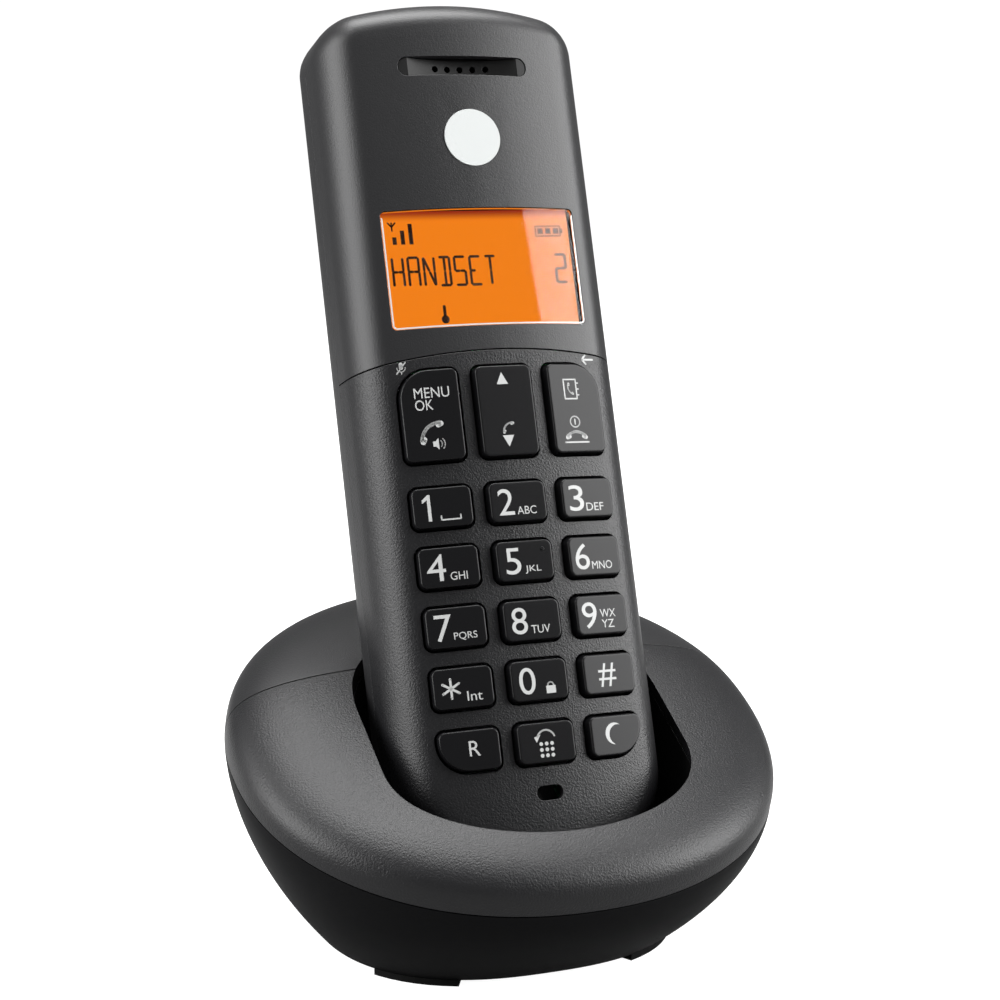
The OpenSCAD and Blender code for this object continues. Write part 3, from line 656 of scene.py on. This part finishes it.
def legend(label):
    """What is printed on a key."""
    if label in DIGITS:
        shapes = words(label, *DIGITS[label], -2.4, 2.35)
        if label in LETTERS:
            text, x0, x1 = LETTERS[label]
            shapes += words(text, x0, x1, -2.4, -0.95)
        return shapes + {
            "9": words("WX", -0.4, 2.9, -0.5, 0.95) + words("YZ", -0.25, 2.4, -2.4, -0.95),
            "0": turned(padlock(), 0, (2.0, -1.4)),
        }.get(label, [])
    return {
        "1": lambda: figure_one() + stroke([(-0.4, -1.6), (-0.4, -2.3), (3.1, -2.3), (3.1, -1.6)], 0.26),
        "star": lambda: star() + words("Int", 0.55, 3.3, -2.4, -0.7),
        "hash": lambda: words("#", -2.3, 1.4, -2.3, 1.9),
        "recall": lambda: words("R", -0.2, 1.8, -1.0, 1.66),
        "redial": lambda: turned(last_numbers(), 0, (-0.1, -0.1), 1.15),
        "night": lambda: turned(moon(), -20, (-0.4, 0.3)),
        "menu_talk": lambda: (words("MENU", -2.9, 3.55, 3.1, 5.0) + words("OK", -2.9, 0.4, 0.9, 2.8)
                              + receiver(-0.6, -3.0, 5.6, 42) + turned(loudspeaker(), 0, (-0.4, -5.3), 0.95)),
        "up_down": lambda: [[(-1.5, 4.8), (0.7, 4.8), (-0.4, 7.0)], [(-1.5, -4.6), (0.7, -4.6), (-0.4, -6.7)]]
                           + receiver(-0.3, -3.1, 2.9, 42),
        "book_end": lambda: (turned(phonebook(), 0, (-0.7, 3.5)) + turned(power_mark(), 0, (-0.7, -2.6))
                             + receiver(-0.7, -5.2, 4.6) + stroke([(-3.2, -6.4), (1.8, -6.4)], 0.28)),
    }[label]()


def printed(name, outlines, place, body, ink):
    """Flat shapes lying in the X-Y plane of place."""
    points, faces = [], []
    for outline in outlines:
        faces.append(range(len(points), len(points) + len(outline)))
        points += [(x, y, 0) for x, y in outline]
    mesh = bpy.data.meshes.new(name)
    mesh.from_pydata([tuple(place @ Vector(p)) for p in points], [], faces)
    toward = place.to_3x3() @ Vector((0, 0, 1))
    obj = bpy.data.objects.new(name, mesh)
    bpy.context.scene.collection.objects.link(obj)
    bm = bmesh.new()
    bm.from_mesh(mesh)
    bmesh.ops.reverse_faces(bm, faces=[f for f in bm.faces if f.normal.dot(toward) < 0])
    bm.to_mesh(mesh)
    bm.free()
    mesh.transform(Matrix.Scale(MM, 4))
    mesh.materials.append(ink)
    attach(obj, body)
    return obj


def lifted(place, up):
    return place @ Matrix.Translation((0, 0, up))


for node, (h, x, z, side, up) in KEYS.items():
    top = lifted(face_frame(x, z), PROUD + 0.015)
    printed(node + "_legend", legend(node.removeprefix("key_")), top, node, INK)
printed("mute_mark", muted(), lifted(face_frame(-18.2, 92.3), 0.05), "handset", INK)
printed("back_mark", back_arrow(), lifted(face_frame(18.1, 92.7), 0.05), "handset", INK)
nib = loft("nib", [[(*p, 0.0) for p in disc(3.5, 1.9, 0.4)], [(*p, 0.2) for p in disc(3.5, 1.9, 0.3)]],
           lifted(face_frame(KEYS["key_5"][1], KEYS["key_5"][2]), PROUD - 0.05))
place_piece(nib, "key_5", "key_black")


# ---------- what the screen shows ----------
SEGMENTS = {                        # ends of each bar, as shares of a character's width and height
    "a": (0, 1, 1, 1), "b": (1, 1, 1, 0.5), "c": (1, 0.5, 1, 0), "d": (0, 0, 1, 0),
    "e": (0, 0.5, 0, 0), "f": (0, 1, 0, 0.5), "g": (0, 0.5, 0.5, 0.5), "G": (0.5, 0.5, 1, 0.5),
    "h": (0, 1, 0.5, 0.5), "i": (0.5, 1, 0.5, 0.5), "l": (0.5, 0.5, 0.5, 0), "m": (0.5, 0.5, 1, 0),
}
LETTER_PARTS = {"H": "bcefgG", "A": "abcefgG", "N": "bcefhm", "D": "abcdil", "S": "afgGcd", "E": "adefg",
                "T": "ail", "2": "abgGed"}


def display_character(letter, x, z, w=2.0, h=5.3):
    out = []
    for part in LETTER_PARTS[letter]:
        x0, z0, x1, z1 = SEGMENTS[part]
        a, b = Vector((x + x0 * w, z + z0 * h)), Vector((x + x1 * w, z + z1 * h))
        trim = (b - a).normalized() * 0.24
        out += stroke([tuple(a + trim), tuple(b - trim)], 0.5)
    return out


def screen_content():
    """Signal, battery and the handset's number, in the handset's X and Z."""
    out = []
    for i, letter in enumerate("HANDSET"):
        out += display_character(letter, -18.55 + 3.0 * i, 107.0)
    out += display_character("2", 13.4, 107.0)
    for i in range(3):
        x = -18.0 + 1.6 * i
        out.append([(x, 114.8), (x + 0.8, 114.8), (x + 0.8, 116.2 + 1.25 * i), (x, 116.2 + 1.25 * i)])
    out += stroke([(-17.9, 117.4), (-17.9, 118.9)], 0.3)
    out += stroke([(-18.6, 118.9), (-17.9, 118.1), (-17.2, 118.9)], 0.3)
    out += stroke([(10.2, 115.9), (15.1, 115.9), (15.1, 117.8), (10.2, 117.8), (10.2, 115.9)], 0.26)
    for x in (10.6, 12.15, 13.7):
        out.append([(x, 116.3), (x + 1.05, 116.3), (x + 1.05, 117.4), (x, 117.4)])
    out.append([(15.1, 116.4), (15.6, 116.4), (15.6, 117.3), (15.1, 117.3)])
    out += stroke([(-9.5, 100.6), (-9.5, 103.0)], 0.6) + [disc(-9.5, 100.6, 0.78)]
    return out


screen_place = Matrix.Translation((SCREEN_SHIFT[0], SCREEN_DEPTH - 0.04, SCREEN_SHIFT[1]))
screen_plane = HANDSET @ screen_place @ Matrix.Rotation(math.pi / 2, 4, "X")
printed("screen_content", screen_content(), screen_plane, "handset", SEGMENT)


def lens_edge_highlight(width=0.28, sink=0.02):
    """Light grey strip along the display lens's sides and bottom: a painted highlight for its polished edge.
    """
    def path(inset):
        half_w, half_h, r = WINDOW[0] / 2 - inset, WINDOW[1] / 2 - inset, 0.9 - inset
        bottom = [(x, -half_h) for x in np.linspace(r - half_w, half_w - r, 25)[1:-1]]
        left = [(-half_w, half_h - 1)] + arc(r - half_w, r - half_h, r, 180, 6)
        return left + bottom + arc(half_w - r, r - half_h, r, 270, 6) + [(half_w, half_h - 1)]

    rims = [[(x, crown(x) - sink, WINDOW[2] + z) for x, z in path(inset)] for inset in (0, width)]
    n = len(rims[0])
    faces = [(i, i + 1, n + i + 1, n + i) for i in range(n - 1)]
    obj = mesh_object("lens_edge_highlight", rims[0] + rims[1], faces)
    to_metres(obj)
    obj.data.materials.append(LENS_HIGHLIGHT)
    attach(obj, "handset")


lens_edge_highlight()


# ---------- handset covers ----------
def above_divide(name, shift):
    xs = np.linspace(-28, 28, 57)
    edge = [(x, DIVIDE_Z - x * x / (2 * DIVIDE_R) + shift) for x in xs]
    outline = [(-28, 220)] + edge + [(28, 220)]
    return loft(name, [[(x, y, z) for x, z in outline] for y in (50, -10)])


def front_shell(name):
    return cut(front_half(name, 0, PARTING), front_half("inner", WALL, PARTING + 1))


def slot_cutter(spec, grow, r):
    half_w, half_h = spec[0] / 2 + grow, spec[1] / 2 + grow
    return plate("cutter", half_w, half_h, r, spec[2], -5, 8)


def upper_cover():
    skin = keep(front_shell("upper_cover"), above_divide("top", SEAM_GAP / 2))
    badge = prism("cutter", disc(0, 0, BADGE_R, 96), -0.4, 3, face_frame(0, BADGE_Z))
    return cut(skin, slot_cutter(WINDOW, 0.1, 0.9), slot_cutter(EAR, 0.05, EAR[1] / 2 - 0.05), badge)


def lower_cover():
    skin = cut(front_shell("lower_cover"), above_divide("top", -SEAM_GAP / 2))
    holes = [key_cutter(*spec) for spec in KEYS.values()]
    mic = plate("cutter", *MIC, -5, 8)
    return cut(skin, mic, *holes)


def back_housing():
    skin = cut(back_half("back_housing", 0, PARTING + 0.1), back_half("inner", WALL, PARTING - 1))
    bed = DEPTH - DOOR[3] - 0.3
    floor = block("floor", (-DOOR[0] - 2, bed - 1.5, 0.3), (DOOR[0] + 2, bed + 1.5, DOOR[2] + 2.3))
    skin = weld(skin, keep(floor, back_half("trim", 0.7, PARTING)))
    middle = (DOOR[1] + DOOR[2]) / 2
    seat = plate("cutter", DOOR[0] + 0.2, (DOOR[2] - DOOR[1]) / 2 + 0.2, 2.2, middle, bed, DEPTH + 2)
    run_out = block("cutter", (-DOOR[0] - 0.2, bed, -5), (DOOR[0] + 0.2, DEPTH + 2, DOOR[1] + 5))
    slots = [plate("cutter", *VENT, DEPTH - 5, DEPTH + 5) for _ in range(VENT_COUNT)]
    for i, slot in enumerate(slots):
        slot.data.transform(Matrix.Translation((VENT_PITCH * (i - (VENT_COUNT - 1) / 2), 0, 0)))
    bores = []
    for x, z in BACK_SCREWS:
        ring = disc(x, z, SCREW_BORE, 48)
        bores.append(loft("cutter", [[(px, y, pz) for px, pz in ring] for y in (DEPTH + 3, DEPTH - 2.2)]))
    return cut(skin, seat, run_out, *slots, *bores)


place_piece(upper_cover(), "handset", "smooth_black", "handset_upper_cover")
place_piece(lower_cover(), "handset", "textured_black", "handset_lower_cover")
place_piece(back_housing(), "handset", "smooth_black", "handset_back_housing")


# ---------- base covers ----------
def cover(name, rear):
    skin = cut(dome(name, 0, 0), dome("inner", BASE_WALL, 1))
    low = block("cutter", (-80, -80, -10), (80, 80, SEAM_GAP / 2), SEAM)
    if rear:
        other = block("cutter", (-80, -160, -20), (80, COVER_SPLIT + SEAM_GAP / 2, 60), SEAM)
    else:
        other = block("cutter", (-80, COVER_SPLIT - SEAM_GAP / 2, -20), (80, 160, 60), SEAM)
    return cut(skin, low, other, room("mouth", 0))


def rear_cover():
    tilt = Matrix.Rotation(math.radians(-BUTTON[2]), 4, "X")
    spot = SEAM @ Matrix.Translation((0, *BUTTON[:2])) @ tilt
    return cut(cover("rear_cover", True), prism("cutter", disc(0, 0, BUTTON_R, 72), -8, 12, spot))


def bottom_housing():
    skin = cut(bowl("bottom_housing", 0), bowl("inner", BASE_WALL, 1))
    top = block("cutter", (-80, -80, -SEAM_GAP / 2), (80, 80, 20), SEAM)
    windows = [block("cutter", *corners, BASE) for corners in (LINE_WINDOW, POWER_WINDOW)]
    return cut(skin, top, *windows)


def well():
    tub = cut(room("well", WALL), room("hollow", 0))
    limit = weld(dome("limit", BASE_WALL + 0.3, 0.5), bowl("low", BASE_WALL + 0.3, 0.3))
    tub = keep(tub, limit)
    across, (front, back), half_w = CONTACTS
    holes = [block("cutter", (x - half_w, front, -5), (x + half_w, back, 5)) for x in (-across, across)]
    return cut(tub, *holes)


place_piece(cover("front_cover", False), "base", "textured_black", "base_front_cover")
place_piece(rear_cover(), "base", "smooth_black", "base_rear_cover")
place_piece(bottom_housing(), "base", "lower_black", "base_bottom_housing")
place_piece(well(), "base", "inner_black", "cradle_well")


# ---------- camera, light and floor ----------
FILL = 0.3                          # brightness of the backdrop as a light
FLOOR_FILL = 0.05                   # the same for the floor's own glow


def camera_only(tree, dim, bright):
    """Level that is bright where the camera looks straight at it and dim as a light."""
    seen = tree.nodes.new("ShaderNodeLightPath")
    level = tree.nodes.new("ShaderNodeMix")
    level.inputs["A"].default_value = dim
    level.inputs["B"].default_value = bright
    tree.links.new(seen.outputs["Is Camera Ray"], level.inputs["Factor"])
    return level.outputs["Result"]


def area_light(name, at, toward, size, power):
    data = bpy.data.lights.new(name, "AREA")
    data.shape = "RECTANGLE"
    data.size, data.size_y = size
    data.energy = power
    obj = bpy.data.objects.new(name, data)
    obj.location = at
    obj.rotation_mode = "QUATERNION"
    obj.rotation_quaternion = (Vector(toward) - Vector(at)).to_track_quat("-Z", "Y")
    bpy.context.scene.collection.objects.link(obj)
    return obj


def studio():
    """A white backdrop with dim fill, so that the three soft boxes draw the highlights."""
    world = bpy.data.worlds.new("studio")
    world.use_nodes = True
    tree = world.node_tree
    tree.links.new(camera_only(tree, FILL, 1.05), tree.nodes["Background"].inputs["Strength"])
    tree.nodes["Background"].inputs["Color"].default_value = (1, 1, 1, 1)
    bpy.context.scene.world = world
    bpy.context.scene.view_settings.view_transform = "Standard"
    middle = (0, 0, 0.09)
    area_light("right", (0.85, -0.44, 0.5), middle, (0.7, 0.9), 35)
    area_light("left", (-0.9, 0.05, 0.35), middle, (0.7, 1.1), 32)
    area_light("top", (0.05, 0.15, 1.0), middle, (0.8, 0.6), 27)


def camera():
    """Camera at the picture's viewing angle, placed in the handset's own frame."""
    data = bpy.data.cameras.new("camera")
    data.lens = 79.6
    data.sensor_width = 36
    obj = bpy.data.objects.new("camera", data)
    obj.location = (HANDSET @ Vector((-147.3, -365.9, 15.05))) * MM
    azimuth, elevation, roll = math.radians(21.75), math.radians(-11.05), math.radians(0.63)
    toward = Vector((math.sin(azimuth) * math.cos(elevation), math.cos(azimuth) * math.cos(elevation),
                     math.sin(elevation)))
    obj.rotation_mode = "QUATERNION"
    obj.rotation_quaternion = toward.to_track_quat("-Z", "Y") @ Quaternion((0, 0, 1), roll)
    bpy.context.scene.collection.objects.link(obj)
    bpy.context.scene.camera = obj


def floor():
    """Pale floor that is as bright as the backdrop."""
    half = 4000
    obj = mesh_object("floor", [(-half, -half, 0), (half, -half, 0), (half, half, 0), (-half, half, 0)],
                      [(0, 1, 2, 3)], Matrix.Identity(4))
    to_metres(obj)
    mat, tree, shader = node_material("pale_floor")
    shader.inputs["Base Color"].default_value = (0.22, 0.22, 0.22, 1)
    shader.inputs["Roughness"].default_value = 0.9
    shader.inputs["Emission Color"].default_value = (1, 1, 1, 1)
    tree.links.new(camera_only(tree, FLOOR_FILL, 0.96), shader.inputs["Emission Strength"])
    obj.data.materials.append(mat)


studio()
camera()
floor()
